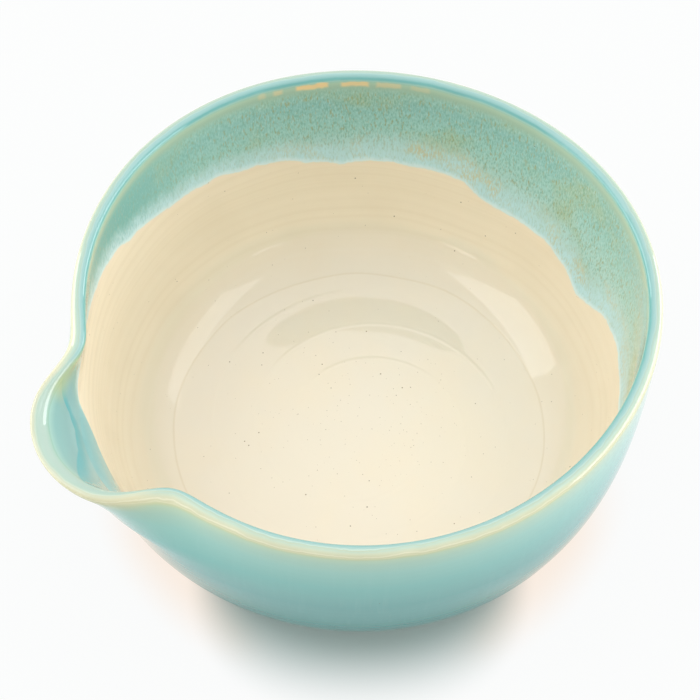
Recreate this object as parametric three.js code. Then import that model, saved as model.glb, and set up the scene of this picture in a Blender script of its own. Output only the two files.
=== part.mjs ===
// Wheel-thrown stoneware bowl with a pouring spout pulled out of its rim, cream inside and turquoise outside
import * as THREE from "three";

// Overall sizes in millimetres: +Z is up, the bowl stands on z = 0 and the spout points along -X
const HEIGHT = 113; // table to the top of the rim
const RIM_RADIUS = 113; // outside of the lip, before the spout is pulled
const RIM_THICKNESS = 6; // across the rounded lip

// Outside of the wall
const BELLY_ROUND = 3.26; // how squarely the belly turns in towards the foot
const BELLY_FULL = 3.37; // how long the wall stays upright below the rim

// Trimmed foot ring and the floor above it
const FOOT_RADIUS = 46;
const FOOT_WIDTH = 5; // flat face that the bowl stands on
const FOOT_HEIGHT = 5; // from the table to where the belly meets the ring
const FOOT_CHAMFER = 0.8; // bevel on both edges of the standing face
const RECESS_DEPTH = 3.5; // hollow trimmed inside the ring
const RECESS_SLOPE = 2; // how far the inner side of the ring leans in
const FLOOR_THICKNESS = 7.8; // from the recess to the glazed floor

// Inside of the wall
const INSIDE_ROUND = 6; // how squarely the wall turns into the floor
const INSIDE_FULL = 4; // how long the inside stays upright below the rim

// Pouring spout pulled out of the wet rim
const SPOUT_AZIMUTH = 180;
const SPOUT_REACH = 28.2; // how far the lip is drawn out of the round
const SPOUT_HALF_ANGLE = 16.2; // half of the mouth, seen from the bowl's axis
const SPOUT_FLANK = 2; // how gently the flanks flow back into the rim
const SPOUT_CROWN = 0.5; // roundness of the lip's front
const SPOUT_NARROWING = 0.22; // degrees lost on each side per millimetre into the wall
const SPOUT_SPREAD = 0.2; // degrees gained on each side per millimetre of depth
const SPOUT_SOFTENING = 0.09; // degrees of flank gained per millimetre of depth
const SPOUT_DEPTH = 65.5; // how far down the wall the pull is felt
const SPOUT_FADE = 2.4; // how quickly the pull lets go below the lip
const SPOUT_DROP = 1; // how much the lip sinks at its tip
const DRAG = 0.28; // share of the reach that the belly below is dragged along
const DRAG_HALF_ANGLE = 22.5;
const DRAG_START = 30; // depth at which the whole drag is felt
const DRAG_DEPTH = HEIGHT - FOOT_HEIGHT; // it ends above the trimmed foot

// Small wander of a hand-thrown rim, which fades out down the wall
const OVAL = 0.85;
const OVAL_AZIMUTH = 73;
const THREE_LOBE = 1.15;
const THREE_LOBE_AZIMUTH = -18;
const WANDER_DEPTH = 90;
const LEAN = 1.7; // how far the rim's middle sits off the foot's middle
const LEAN_AZIMUTH = -33;

// Fired coats
const GLAZE = 0.6; // thickness of each coat
const GLAZE_GAP = 0.3; // clearance between a coat and the clay
const GLAZE_JOINT = 0.4; // clearance between the two coats where they meet
const BARE_BAND = 36; // bare clay left around the foot, along the belly
const RUN_MEAN = 42; // how far the turquoise runs down the inside, along the wall
const RUN_TILT = 21; // how much further it runs on its deep side
const RUN_AZIMUTH = -10; // direction of that deep side
const RUN_SPOUT = 30; // how much further it runs in the spout
const RUN_SPOUT_HALF_ANGLE = 14;
const RUN_SPOUT_FLANK = 2.5;
const RUN_WAVE = 2.2; // height of the waves along its edge
const RUN_WAVES = 7;

// Facets: close together around the spout, wider apart on the plain wall
const SPOUT_SECTOR = 28; // half of the closely divided sector
const SPOUT_FACETS = 34;
const PLAIN_FACETS = 38;
const FACETS = SPOUT_FACETS + PLAIN_FACETS;
const LIP_STEPS = 6;
const BARE_STEPS = 3;
const WALL_STEPS = 10;
const RUN_STEPS = 6;
const LINER_STEPS = 8;

const CREAM = new THREE.MeshStandardMaterial({ color: 0xf0e2c6, roughness: 0.16, metalness: 0 });
const TURQUOISE = new THREE.MeshStandardMaterial({ color: 0x97c4bd, roughness: 0.18, metalness: 0 });
const CLAY = new THREE.MeshStandardMaterial({ color: 0xc9a184, roughness: 0.85, metalness: 0 });

const LIP_RADIUS = RIM_THICKNESS / 2;
const LIP_Z = HEIGHT - LIP_RADIUS;
const FLOOR_Z = RECESS_DEPTH + FLOOR_THICKNESS;
const UNDER_GLAZE = GLAZE + GLAZE_GAP;

/** Wall outline from the lip down to the foot or the floor: a superellipse quarter of (radius, height). */
class WallCurve extends THREE.Curve {
  constructor(topRadius, endRadius, endZ, roundness, fullness) {
    super();
    this.topRadius = topRadius;
    this.endRadius = endRadius;
    this.endZ = endZ;
    this.roundness = roundness;
    this.fullness = fullness;
  }

  getPoint(t, target = new THREE.Vector2()) {
    const angle = (t * Math.PI) / 2;
    const across = Math.max(0, Math.cos(angle)) ** (2 / this.roundness);
    const down = Math.sin(angle) ** (2 / this.fullness);
    const radius = this.endRadius + (this.topRadius - this.endRadius) * across;
    return target.set(radius, LIP_Z + (this.endZ - LIP_Z) * down);
  }
}

const outside = new WallCurve(RIM_RADIUS, FOOT_RADIUS, FOOT_HEIGHT, BELLY_ROUND, BELLY_FULL);
const inside = new WallCurve(RIM_RADIUS - RIM_THICKNESS, 0, FLOOR_Z, INSIDE_ROUND, INSIDE_FULL);
const OUTSIDE_LENGTH = outside.getLength();
const INSIDE_LENGTH = inside.getLength();

/** Signed angle in degrees from the middle of the spout. */
function fromSpout(azimuth) {
  return THREE.MathUtils.euclideanModulo(azimuth - SPOUT_AZIMUTH + 180, 360) - 180;
}

/** Share of the pull at an azimuth, a depth below the rim and an inset from the outside of the wall. */
function spoutShare(azimuth, depth, inset) {
  const away = Math.abs(fromSpout(azimuth));
  const half = SPOUT_HALF_ANGLE - SPOUT_NARROWING * inset + SPOUT_SPREAD * depth;
  const flank = SPOUT_FLANK + SPOUT_SOFTENING * depth;
  const front = Math.exp(-SPOUT_CROWN * (away / half) ** 2) / (1 + Math.exp((away - half) / flank));
  const pull = front * Math.max(0, 1 - depth / SPOUT_DEPTH) ** SPOUT_FADE;
  const drag = Math.exp(-0.5 * (away / DRAG_HALF_ANGLE) ** 2) * Math.min(1, depth / DRAG_START);
  return pull + DRAG * drag * Math.max(0, 1 - depth / DRAG_DEPTH);
}

/** Length that the turquoise runs down the inside of the wall at an azimuth. */
function runLength(azimuth) {
  const tilt = RUN_TILT * Math.cos(THREE.MathUtils.degToRad(azimuth - RUN_AZIMUTH));
  const away = Math.abs(fromSpout(azimuth));
  const spout = RUN_SPOUT / (1 + Math.exp((away - RUN_SPOUT_HALF_ANGLE) / RUN_SPOUT_FLANK));
  const wave = RUN_WAVE * Math.sin(THREE.MathUtils.degToRad(RUN_WAVES * azimuth));
  return RUN_MEAN + tilt + spout + wave;
}

/** Place on the outside of the wall, a length below the lip, with its outward direction. */
function outsideAt(length) {
  const share = Math.min(1, length / OUTSIDE_LENGTH);
  const along = outside.getTangentAt(share);
  return { point: outside.getPointAt(share), facing: new THREE.Vector2(-along.y, along.x), inset: 0 };
}

/** Place on the inside of the wall, a length below the lip, with its direction into the bowl. */
function insideAt(length) {
  const share = Math.min(1, length / INSIDE_LENGTH);
  const along = inside.getTangentAt(share);
  return { point: inside.getPointAt(share), facing: new THREE.Vector2(along.y, -along.x), inset: RIM_THICKNESS };
}

/** Place on the rounded lip, from 0 at its outer edge to 1 at its inner edge. */
function lipAt(share) {
  const angle = share * Math.PI;
  const facing = new THREE.Vector2(Math.cos(angle), Math.sin(angle));
  const middle = new THREE.Vector2(RIM_RADIUS - LIP_RADIUS, LIP_Z);
  return { point: middle.addScaledVector(facing, LIP_RADIUS), facing, inset: share * RIM_THICKNESS };
}

/** Station that stays where it is drawn, whatever the coat. */
function fixed(radius, z) {
  const place = { point: new THREE.Vector2(radius, z), facing: new THREE.Vector2(), inset: 0 };
  return () => place;
}

/** Stations over the bare clay, from beside the foot ring up to the edge of the turquoise. */
function bareStations() {
  const stations = [];
  for (let i = 1; i < BARE_STEPS; i++) {
    const place = outsideAt(OUTSIDE_LENGTH - (BARE_BAND * i) / BARE_STEPS);
    stations.push(() => place);
  }
  return stations;
}

/** Stations over the outside and the lip, from the bare band upwards, ending at the lip's inner edge. */
function outsideStations() {
  const stations = [];
  const glazed = OUTSIDE_LENGTH - BARE_BAND;
  for (let i = WALL_STEPS; i >= 1; i--) {
    const place = outsideAt(glazed * (i / WALL_STEPS));
    stations.push(() => place);
  }
  for (let i = 0; i <= LIP_STEPS; i++) {
    const place = lipAt(i / LIP_STEPS);
    stations.push(() => place);
  }
  return stations;
}

/** Stations down the inside to the edge of the turquoise. */
function runStations() {
  const stations = [];
  for (let i = 1; i <= RUN_STEPS; i++) {
    stations.push((azimuth) => insideAt(runLength(azimuth) * (i / RUN_STEPS)));
  }
  return stations;
}

/** Stations from below the edge of the turquoise to the middle of the floor. */
function linerStations() {
  const stations = [];
  for (let i = 0; i < LINER_STEPS; i++) {
    stations.push((azimuth) => {
      const start = runLength(azimuth) + GLAZE_JOINT;
      return insideAt(start + (INSIDE_LENGTH - start) * (i / LINER_STEPS));
    });
  }
  const middle = { point: new THREE.Vector2(0, FLOOR_Z), facing: new THREE.Vector2(0, 1), inset: RIM_THICKNESS };
  stations.push(() => middle);
  return stations;
}

/** Azimuth of each facet edge, in degrees. */
function facetAzimuths() {
  const azimuths = [];
  const first = SPOUT_AZIMUTH - SPOUT_SECTOR;
  for (let i = 0; i < SPOUT_FACETS; i++) {
    azimuths.push(first + (2 * SPOUT_SECTOR * i) / SPOUT_FACETS);
  }
  for (let i = 0; i < PLAIN_FACETS; i++) {
    azimuths.push(first + 2 * SPOUT_SECTOR + ((360 - 2 * SPOUT_SECTOR) * i) / PLAIN_FACETS);
  }
  return azimuths;
}

/** Position in the bowl of a station's place, sunk below the finished surface, at an azimuth. */
function pulled(place, sink, azimuth) {
  const radius = place.point.x - sink * place.facing.x;
  const z = place.point.y - sink * place.facing.y;
  const depth = HEIGHT - place.point.y;
  const share = spoutShare(azimuth, depth, place.inset + (place.facing.x < 0 ? -sink : sink));
  const outer = Math.min(1, radius / FOOT_RADIUS);
  const fade = Math.max(0, 1 - depth / WANDER_DEPTH) * outer;
  const oval = OVAL * Math.cos(2 * THREE.MathUtils.degToRad(azimuth - OVAL_AZIMUTH));
  const lobes = THREE_LOBE * Math.cos(3 * THREE.MathUtils.degToRad(azimuth - THREE_LOBE_AZIMUTH));
  const reach = radius + (oval + lobes) * fade + SPOUT_REACH * share * outer;
  const lean = (LEAN * z) / HEIGHT;
  const turn = THREE.MathUtils.degToRad(azimuth);
  const leanTurn = THREE.MathUtils.degToRad(LEAN_AZIMUTH);
  return new THREE.Vector3(
    reach * Math.cos(turn) + lean * Math.cos(leanTurn),
    reach * Math.sin(turn) + lean * Math.sin(leanTurn),
    z - SPOUT_DROP * share * outer,
  );
}

const AZIMUTHS = facetAzimuths();

/** Turns a profile of stations on the wheel, each sunk below the finished surface, and pulls the spout. */
function thrown(name, profile, material) {
  const outline = profile.map(({ station, sink }) => {
    const place = station(AZIMUTHS[0]);
    return place.point.clone().addScaledVector(place.facing, -sink);
  });
  const geometry = new THREE.LatheGeometry(outline, FACETS);
  const position = geometry.getAttribute("position");
  for (let i = 0; i <= FACETS; i++) {
    const azimuth = AZIMUTHS[i % FACETS];
    profile.forEach(({ station, sink }, j) => {
      const spot = pulled(station(azimuth), sink, azimuth);
      position.setXYZ(i * profile.length + j, spot.x, spot.y, spot.z);
    });
  }
  geometry.setIndex(facetCorners(profile));
  geometry.computeVertexNormals();
  const mesh = new THREE.Mesh(geometry, material);
  mesh.name = name;
  return mesh;
}

/** Corners of the facets, split along the same diagonal on a coat's underside as on the clay below it. */
function facetCorners(profile) {
  const corners = [];
  for (let i = 0; i < FACETS; i++) {
    for (let j = 0; j < profile.length - 1; j++) {
      const a = i * profile.length + j;
      const b = a + profile.length;
      const [c, d] = [b + 1, a + 1];
      if (profile[j].underside && profile[j + 1].underside) corners.push(a, b, c, a, c, d);
      else corners.push(a, b, d, c, d, b);
    }
  }
  return corners;
}

const over = (stations, sink) => stations.map((station) => ({ station, sink, underside: false }));
const under = (stations, sink) =>
  [...stations].reverse().map((station) => ({ station, sink, underside: true }));

// Fired body: recess, standing ring, bare belly, wall, lip, inside wall and floor
const ringInner = FOOT_RADIUS - FOOT_WIDTH - 2 * FOOT_CHAMFER;
const footStations = [
  fixed(0, RECESS_DEPTH),
  fixed(ringInner - RECESS_SLOPE, RECESS_DEPTH),
  fixed(ringInner, FOOT_CHAMFER),
  fixed(ringInner + FOOT_CHAMFER, 0),
  fixed(FOOT_RADIUS - FOOT_CHAMFER, 0),
  fixed(FOOT_RADIUS, FOOT_CHAMFER),
  fixed(FOOT_RADIUS, FOOT_HEIGHT + UNDER_GLAZE),
];
const body = thrown(
  "stoneware_body",
  [
    ...over(footStations, 0),
    ...over([...bareStations(), ...outsideStations(), ...runStations(), ...linerStations()], UNDER_GLAZE),
  ],
  CLAY,
);

// Turquoise coat: up the outside, over the lip and down the inside, then back along its own underside
const coat = [...outsideStations(), ...runStations()];
const turquoise = thrown(
  "turquoise_glaze",
  [...over(coat, 0), ...under(coat, GLAZE), ...over([coat[0]], 0)],
  TURQUOISE,
);

// Cream liner: from the middle of its underside out to the edge of the turquoise and back over the floor
const liner = linerStations();
const cream = thrown("cream_liner_glaze", [...under(liner, GLAZE), ...over(liner, 0)], CREAM);

const bowl = new THREE.Group();
bowl.name = "spouted_bowl";
bowl.add(body, turquoise, cream);

// The frame's origin is under the middle of the whole bowl, spout included
const middle = new THREE.Box3().setFromObject(bowl).getCenter(new THREE.Vector3());
for (const piece of bowl.children) piece.geometry.translate(-middle.x, -middle.y, 0);

export default bowl;
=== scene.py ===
"""Spouted stoneware bowl: clay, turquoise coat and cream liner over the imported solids, in a white studio."""
import logging
import math
from dataclasses import dataclass, field
from enum import Enum
from functools import reduce

import bpy
import numpy as np
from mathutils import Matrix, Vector


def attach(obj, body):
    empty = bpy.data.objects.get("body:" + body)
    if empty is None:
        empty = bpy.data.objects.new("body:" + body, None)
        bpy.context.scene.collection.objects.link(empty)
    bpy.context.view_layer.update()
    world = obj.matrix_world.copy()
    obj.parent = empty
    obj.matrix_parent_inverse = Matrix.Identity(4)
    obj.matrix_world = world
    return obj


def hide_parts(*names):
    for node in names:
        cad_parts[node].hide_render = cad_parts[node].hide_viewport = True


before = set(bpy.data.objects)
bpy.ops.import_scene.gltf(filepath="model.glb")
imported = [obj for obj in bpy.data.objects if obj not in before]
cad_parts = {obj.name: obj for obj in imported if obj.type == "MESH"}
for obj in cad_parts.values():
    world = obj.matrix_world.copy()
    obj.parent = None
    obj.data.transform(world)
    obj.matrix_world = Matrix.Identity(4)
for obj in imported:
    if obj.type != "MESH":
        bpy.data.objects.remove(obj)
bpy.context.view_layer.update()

LOG = logging.getLogger("spouted_bowl")
MM = 0.001
BODY = "root"
WHITE = (1.0, 1.0, 1.0, 1.0)
SEAM_GAP = 1e-6
SPOUT_SPAN = (0.12, 0.45)
SMALLEST_SPECK = 0.4
SPECK_EDGE = (1.0, 0.6)

Rgb = tuple[int, int, int]
Stops = tuple[tuple[float, Rgb], ...]
Sizes = tuple[float, float, float]
# Start and end of a rise, and its low and high result where they aren't 0 and 1
Span = tuple[float, ...]
Piece = bpy.types.Object
Socket = bpy.types.NodeSocket
Feed = Socket | float | tuple[float, ...]
Feeds = dict[str, Feed] | tuple[Feed, ...]


class Slot(Enum):
    """Material slots of the record."""

    STONEWARE = "stoneware"
    TURQUOISE = "turquoise_glaze"
    CREAM = "cream_glaze"


class Mark(Enum):
    """Measures that a piece's mesh carries for its glaze: millimetres, and the spout's share of the pull."""

    STATION = "station"
    FROM_LIP = "from_lip"
    TO_EDGE = "to_edge"
    PULL = "pull"
    TO_FOLD = "to_fold"


def linear(tone: Rgb) -> tuple[float, float, float, float]:
    """Turns a tone as a screen shows it into the linear colour that a shader takes.

    Args:
        tone: Red, green and blue from 0 to 255.

    Returns:
        Linear red, green and blue, and an alpha of 1.
    """
    parts = [c / 255 for c in tone]
    red, green, blue = [c / 12.92 if c <= 0.04045 else ((c + 0.055) / 1.055) ** 2.4 for c in parts]
    return red, green, blue, 1.0


@dataclass(frozen=True)
class WallCurve:
    """Wall outline from the lip down to the foot or the floor: a quarter of a superellipse."""

    top_radius: float
    end_radius: float
    top_z: float
    end_z: float
    roundness: float
    fullness: float

    def points(self, count: int) -> tuple[np.ndarray, np.ndarray]:
        """Places along the curve.

        Args:
            count: How many places.

        Returns:
            Radius and height of each, from the lip down.
        """
        angle = np.linspace(0, math.pi / 2, count)
        across = np.maximum(0, np.cos(angle)) ** (2 / self.roundness)
        down = np.sin(angle) ** (2 / self.fullness)
        radius = self.end_radius + (self.top_radius - self.end_radius) * across
        return radius, self.top_z + (self.end_z - self.top_z) * down


@dataclass(frozen=True)
class Section:
    """Half section of the bowl, from the middle of the recess under the foot to the middle of the floor."""

    from_lip: np.ndarray
    radius: np.ndarray
    z: np.ndarray
    inset: np.ndarray
    belly_end: float

    def at(self, from_lip: np.ndarray, row: np.ndarray) -> np.ndarray:
        """Values of one of the section's rows at signed distances from the crest of the lip."""
        return np.interp(from_lip, self.from_lip, row)

    def facing(self, from_lip: np.ndarray) -> tuple[np.ndarray, np.ndarray]:
        """Outward direction of the surface.

        Args:
            from_lip: Signed distances from the crest of the lip, outside negative.

        Returns:
            Radial and upward parts of the direction.
        """
        reach = 0.15
        low, high = from_lip - reach, from_lip + reach
        along_r = self.at(high, self.radius) - self.at(low, self.radius)
        along_z = self.at(high, self.z) - self.at(low, self.z)
        length = np.maximum(np.hypot(along_r, along_z), 1e-9)
        return along_z / length, -along_r / length


@dataclass(frozen=True)
class GlazeRun:
    """Edge of the turquoise where it ran down the inside: how deep it hangs below the rim, by azimuth."""

    drips: tuple[tuple[float, float], ...] = (
        (8, 62), (17, 61), (26, 61), (31, 56), (38, 52), (44, 53), (52, 52), (60, 53), (69, 52), (74, 47),
        (88, 44), (97, 41), (107, 41), (118, 35), (131, 27), (143, 24), (157, 20), (163, 24), (166, 46),
        (169, 46), (174, 52), (180, 57), (188, 52), (194, 30), (200, 20), (215, 24), (240, 34), (270, 46),
        (295, 57), (319, 65), (327, 62), (334, 60), (343, 61), (348, 66), (352, 70), (357, 70), (362, 63),
    )
    smoothing: float = 1.2
    wave: float = 0.35
    wave_counts: tuple[int, ...] = (19, 31, 43)
    drawn_depth: float = 48.0

    def depth(self, azimuth: np.ndarray) -> np.ndarray:
        """Depth of the edge below the rim.

        Args:
            azimuth: Directions from the axis in degrees.

        Returns:
            Depths in millimetres.
        """
        places, depths = np.array(self.drips).T
        steps = np.arange(-3, 4) * self.smoothing
        weights = np.exp(-0.5 * (steps / (1.5 * self.smoothing)) ** 2)
        smooth = sum(w * np.interp(azimuth + s, places, depths, period=360) for w, s in zip(weights, steps))
        turn = np.radians(azimuth)
        waves = sum(np.sin(n * turn + n) for n in self.wave_counts)
        return smooth / weights.sum() + self.wave * waves


@dataclass(frozen=True)
class BowlForm:
    """Sizes of the thrown bowl in millimetres, as the solids have them, and the surface that they give."""

    height: float = 113.0
    rim_radius: float = 113.0
    rim_thickness: float = 6.0
    belly_round: float = 3.26
    belly_full: float = 3.37
    foot_radius: float = 46.0
    foot_width: float = 5.0
    foot_height: float = 5.0
    foot_chamfer: float = 0.8
    recess_depth: float = 3.5
    recess_slope: float = 2.0
    floor_thickness: float = 7.8
    inside_round: float = 6.0
    inside_full: float = 4.0
    spout_azimuth: float = 180.0
    spout_reach: float = 28.2
    spout_half_angle: float = 16.2
    spout_flank: float = 2.0
    spout_crown: float = 0.5
    spout_narrowing: float = 0.22
    spout_spread: float = 0.2
    spout_softening: float = 0.09
    spout_depth: float = 65.5
    spout_fade: float = 2.4
    spout_drop: float = 1.0
    drag: float = 0.28
    drag_half_angle: float = 22.5
    drag_start: float = 30.0
    drag_depth: float = 108.0
    oval: float = 0.85
    oval_azimuth: float = 73.0
    three_lobe: float = 1.15
    three_lobe_azimuth: float = -18.0
    wander_depth: float = 90.0
    lean: float = 1.7
    lean_azimuth: float = -33.0
    section_places: int = 6000
    fold: tuple[tuple[float, float], ...] = (
        (163.0, 0.0), (166.5, 4.0), (168.0, 13.0), (169.0, 19.5), (171.5, 24.3), (176.2, 22.0), (180.0, 15.5),
        (184.0, 8.2), (188.8, 1.0), (192.0, -3.0),
    )
    run: GlazeRun = GlazeRun()
    section: Section = field(init=False, repr=False, compare=False)
    axis: tuple[float, float] = field(init=False, repr=False, compare=False)

    def __post_init__(self) -> None:
        """Draws the half section and finds the wheel's axis from the foot of the packed clay."""
        object.__setattr__(self, "section", self.draw_section())
        clay = np.array([v.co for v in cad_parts["stoneware_body"].data.vertices]) / MM
        standing = clay[clay[:, 2] < self.foot_chamfer / 2]
        middle = (standing.min(axis=0) + standing.max(axis=0)) / 2
        object.__setattr__(self, "axis", (float(middle[0]), float(middle[1])))

    @property
    def lip_radius(self) -> float:
        """Radius of the rounded lip."""
        return self.rim_thickness / 2

    @property
    def half_lip(self) -> float:
        """Length from the crest of the lip to where a wall begins."""
        return self.lip_radius * math.pi / 2

    @property
    def floor_z(self) -> float:
        """Height of the glazed floor's middle."""
        return self.recess_depth + self.floor_thickness

    @property
    def floor_middle(self) -> float:
        """Distance from the crest of the lip to the middle of the floor."""
        return float(self.section.from_lip[-1])

    def foot_outline(self) -> tuple[np.ndarray, np.ndarray]:
        """Outline of the foot ring and the recess, from the middle of the recess outwards.

        Returns:
            Radius and height of each corner.
        """
        inner = self.foot_radius - self.foot_width - 2 * self.foot_chamfer
        corners = [
            (0.0, self.recess_depth),
            (inner - self.recess_slope, self.recess_depth),
            (inner, self.foot_chamfer),
            (inner + self.foot_chamfer, 0.0),
            (self.foot_radius - self.foot_chamfer, 0.0),
            (self.foot_radius, self.foot_chamfer),
        ]
        radius, z = np.array(corners).T
        return radius, z

    def draw_section(self) -> Section:
        """Joins the foot, the belly, the lip and the inside into one half section.

        Returns:
            The section, with distances counted from the crest of the lip.
        """
        lip_z = self.height - self.lip_radius
        inner_radius = self.rim_radius - self.rim_thickness
        belly = WallCurve(
            self.rim_radius, self.foot_radius, lip_z, self.foot_height, self.belly_round, self.belly_full
        )
        inside = WallCurve(inner_radius, 0.0, lip_z, self.floor_z, self.inside_round, self.inside_full)
        foot_r, foot_z = self.foot_outline()
        belly_r, belly_z = belly.points(self.section_places)
        angle = np.linspace(0, math.pi, self.section_places // 10 + 1)[1:-1]
        lip_r = self.rim_radius - self.lip_radius + self.lip_radius * np.cos(angle)
        inside_r, inside_z = inside.points(self.section_places)
        radius = np.concatenate([foot_r, belly_r[::-1], lip_r, inside_r])
        z = np.concatenate([foot_z, belly_z[::-1], lip_z + self.lip_radius * np.sin(angle), inside_z])
        wall = np.zeros(len(foot_r) + len(belly_r))
        inset = np.concatenate([wall, angle / math.pi, np.ones(len(inside_r))]) * self.rim_thickness
        length = np.concatenate([[0.0], np.cumsum(np.hypot(np.diff(radius), np.diff(z)))])
        length -= length[len(wall) + len(angle) // 2]
        return Section(length, radius, z, inset, float(length[len(foot_r)]))

    def from_spout(self, azimuth: np.ndarray) -> np.ndarray:
        """Signed angles in degrees from the middle of the spout."""
        return (azimuth - self.spout_azimuth + 180) % 360 - 180

    def spout_share(self, azimuth: np.ndarray, depth: np.ndarray, inset: np.ndarray) -> np.ndarray:
        """Share of the pull that the wall feels.

        Args:
            azimuth: Directions from the axis in degrees.
            depth: Depths below the top of the rim.
            inset: Distances from the outside of the wall.

        Returns:
            Shares from 0 on the round wall to 1 at the tip of the spout.
        """
        away = np.abs(self.from_spout(azimuth))
        half = self.spout_half_angle - self.spout_narrowing * inset + self.spout_spread * depth
        flank = self.spout_flank + self.spout_softening * depth
        front = np.exp(-self.spout_crown * (away / half) ** 2) / (1 + np.exp((away - half) / flank))
        pull = front * np.maximum(0, 1 - depth / self.spout_depth) ** self.spout_fade
        drag = np.exp(-0.5 * (away / self.drag_half_angle) ** 2) * np.minimum(1, depth / self.drag_start)
        return pull + self.drag * drag * np.maximum(0, 1 - depth / self.drag_depth)

    def fold_line(self, azimuth: np.ndarray) -> np.ndarray:
        """Distance from the crest of the lip to the fold where the spout's trough turns down."""
        places, lengths = np.array(self.fold).T
        return np.interp(azimuth % 360, places, lengths)

    def inside_at(self, depth: np.ndarray | float) -> np.ndarray:
        """Distance from the crest of the lip to a depth below the rim on the inside."""
        inside = self.section.from_lip > self.half_lip
        return np.interp(depth, self.height - self.section.z[inside], self.section.from_lip[inside])

    def edge(self, azimuth: np.ndarray) -> np.ndarray:
        """Distance from the crest of the lip to the edge of the turquoise on the inside, by azimuth."""
        return self.inside_at(self.run.depth(azimuth))

    @property
    def drawn_edge(self) -> float:
        """Distance from the crest of the lip at which a profile is drawn with the edge of the turquoise."""
        return float(self.inside_at(self.run.drawn_depth))

    def settle(self, station: np.ndarray, azimuth: np.ndarray, overlap: float) -> np.ndarray:
        """Slides the stations of the inside, so that the drawn edge follows the run of the turquoise.

        Args:
            station: Distances from the crest of the lip, as drawn in the profile.
            azimuth: Directions from the axis in degrees.
            overlap: How far the seam lies below the edge of the turquoise.

        Returns:
            Distances from the crest of the lip on the finished bowl.
        """
        drawn = self.drawn_edge
        seam = self.edge(azimuth) + overlap
        above = self.half_lip + (station - self.half_lip) * (seam - self.half_lip) / (drawn - self.half_lip)
        below = seam + (station - drawn) * (self.floor_middle - seam) / (self.floor_middle - drawn)
        return np.where(station <= self.half_lip, station, np.where(station <= drawn, above, below))

    def pulled(self, from_lip: np.ndarray, azimuth: np.ndarray, sink: np.ndarray) -> np.ndarray:
        """Places in the part's frame, with the spout pulled and the wander of a hand-thrown rim.

        Args:
            from_lip: Signed distances from the crest of the lip.
            azimuth: Directions from the axis in degrees.
            sink: Depths below the plain finished surface.

        Returns:
            One row of x, y and z in millimetres for each place.
        """
        facing_r, facing_z = self.section.facing(from_lip)
        radius = self.section.at(from_lip, self.section.radius) - sink * facing_r
        plain_z = self.section.at(from_lip, self.section.z)
        z = plain_z - sink * facing_z
        depth = self.height - plain_z
        inset = self.section.at(from_lip, self.section.inset) + np.where(facing_r < 0, -sink, sink)
        share = self.spout_share(azimuth, depth, inset)
        outer = np.minimum(1, radius / self.foot_radius)
        fade = np.maximum(0, 1 - depth / self.wander_depth) * outer
        oval = self.oval * np.cos(2 * np.radians(azimuth - self.oval_azimuth))
        lobes = self.three_lobe * np.cos(3 * np.radians(azimuth - self.three_lobe_azimuth))
        reach = radius + (oval + lobes) * fade + self.spout_reach * share * outer
        lean = self.lean * z / self.height
        turn, tip = np.radians(azimuth), math.radians(self.lean_azimuth)
        x = self.axis[0] + reach * np.cos(turn) + lean * math.cos(tip)
        y = self.axis[1] + reach * np.sin(turn) + lean * math.sin(tip)
        return np.stack([x, y, z - self.spout_drop * share * outer], axis=-1)


class NodeBench:
    """A node tree, with short words for the nodes that the finishes and the room use."""

    def __init__(self, tree: bpy.types.NodeTree) -> None:
        """Takes up a tree."""
        self.tree = tree

    def feed(self, socket: Socket, value: Feed) -> None:
        """Links a socket to another one, or sets its value.

        Args:
            socket: An input.
            value: What goes into it.
        """
        if isinstance(value, Socket):
            self.tree.links.new(value, socket)
        else:
            socket.default_value = value

    def wire(self, kind: str, feeds: Feeds, output: str | int = 0, **settings: object) -> Socket:
        """Adds a node and feeds it.

        Args:
            kind: The node's type, without Blender's prefix.
            feeds: What goes into its inputs, by their names or in their order.
            output: The output that is wanted.
            settings: Properties of the node and their values.

        Returns:
            That output.
        """
        made = self.tree.nodes.new("ShaderNode" + kind)
        for key, value in settings.items():
            setattr(made, key, value)
        for key, value in feeds.items() if isinstance(feeds, dict) else enumerate(feeds):
            self.feed(made.inputs[key], value)
        return made.outputs[output]

    def math(self, operation: str, *values: Feed) -> Socket:
        """Works out one number, by Blender's name of the operation."""
        return self.wire("Math", values, operation=operation)

    def scaled(self, value: Feed, factor: Feed, offset: Feed) -> Socket:
        """A value times a factor, plus an offset."""
        return self.math("MULTIPLY_ADD", value, factor, offset)

    def times(self, first: Feed, *others: Feed) -> Socket:
        """Multiplies numbers."""
        return reduce(lambda product, other: self.math("MULTIPLY", product, other), others, first)

    def rise(self, value: Feed, start: Feed, end: Feed, low: float = 0.0, high: float = 1.0) -> Socket:
        """Goes smoothly from a low to a high number while a value goes from a start to an end."""
        places = (value, start, end, low, high)
        return self.wire("MapRange", places, "Result", interpolation_type="SMOOTHSTEP")

    def within(self, value: Feed, *spans: Span) -> Socket:
        """Product of several rises that follow one value, such as a rise and a fall."""
        return self.times(*(self.rise(value, *span) for span in spans))

    def join(self, share: Feed, first: Socket, second: Socket, end: str) -> None:
        """Mixes a share of a second shader into a first, as what comes out at the named end of the tree."""
        both = self.wire("MixShader", (share, first, second))
        self.feed(self.tree.nodes[end].inputs["Surface"], both)


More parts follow.
